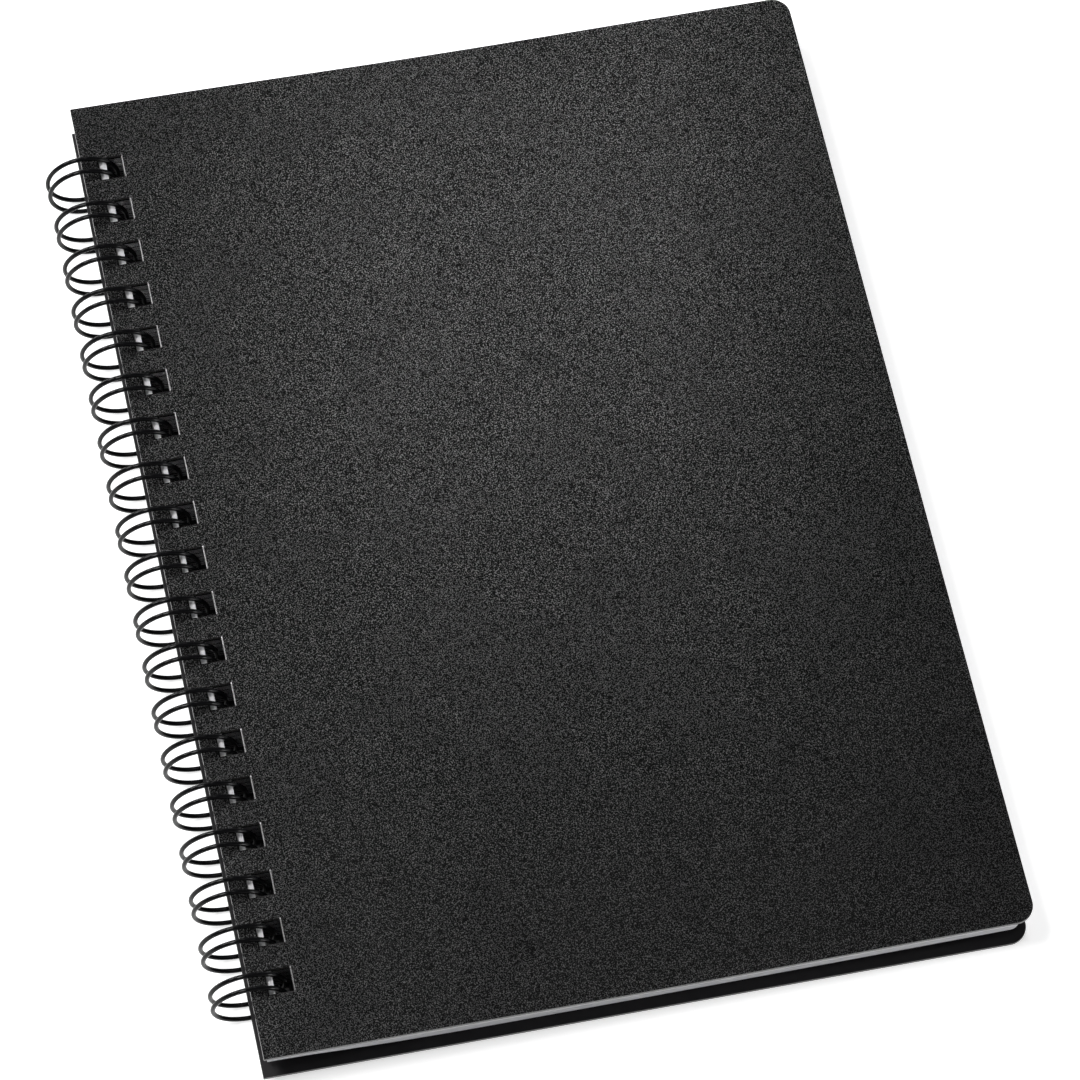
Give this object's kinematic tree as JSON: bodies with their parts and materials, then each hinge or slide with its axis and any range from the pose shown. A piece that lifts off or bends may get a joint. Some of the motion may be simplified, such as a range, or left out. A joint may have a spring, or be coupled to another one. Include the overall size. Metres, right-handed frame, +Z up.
{
  "type": "side-bound wire notebook",
  "caption": "Slim pocket-format notebook: two black plastic covers and a block of white sheets, bound along the long side by a black twin-loop wire comb.",
  "frame": {"origin": "middle of the notebook's footprint, on the surface it lies on", "axes": "+Z up out of the front cover, +Y along the spine from tail to head, +X from the spine towards the fore edge. The notebook lies on its loops and on the back cover's fore edge, so its covers slope down about 0.9 degrees towards +X."},
  "size_m": [0.1336, 0.1778, 0.013],
  "materials": {
    "front_cover": "black polypropylene sheet with a fine sandy grain and a soft sheen",
    "sheets": "white uncoated writing paper",
    "back_cover": "black polypropylene sheet with a fine sandy grain",
    "wire": "glossy black nylon coating on steel wire"
  },
  "bodies": {
    "bound_block": {"wire_comb": "wire", "page_block": "sheets"},
    "front_cover": {"front_cover": "front_cover"},
    "back_cover": {"back_cover": "back_cover"}
  },
  "joints": [
    {"name": "front_cover_hinge", "type": "hinge", "parent": "bound_block", "child": "front_cover", "pos_m": [-0.06043, 0, 0.0065], "axis": [0, -1, 0], "range_deg": [0, 180]},
    {"name": "back_cover_hinge", "type": "hinge", "parent": "bound_block", "child": "back_cover", "pos_m": [-0.06043, 0, 0.0065], "axis": [0, 1, 0], "range_deg": [0, 180]}
  ]
}
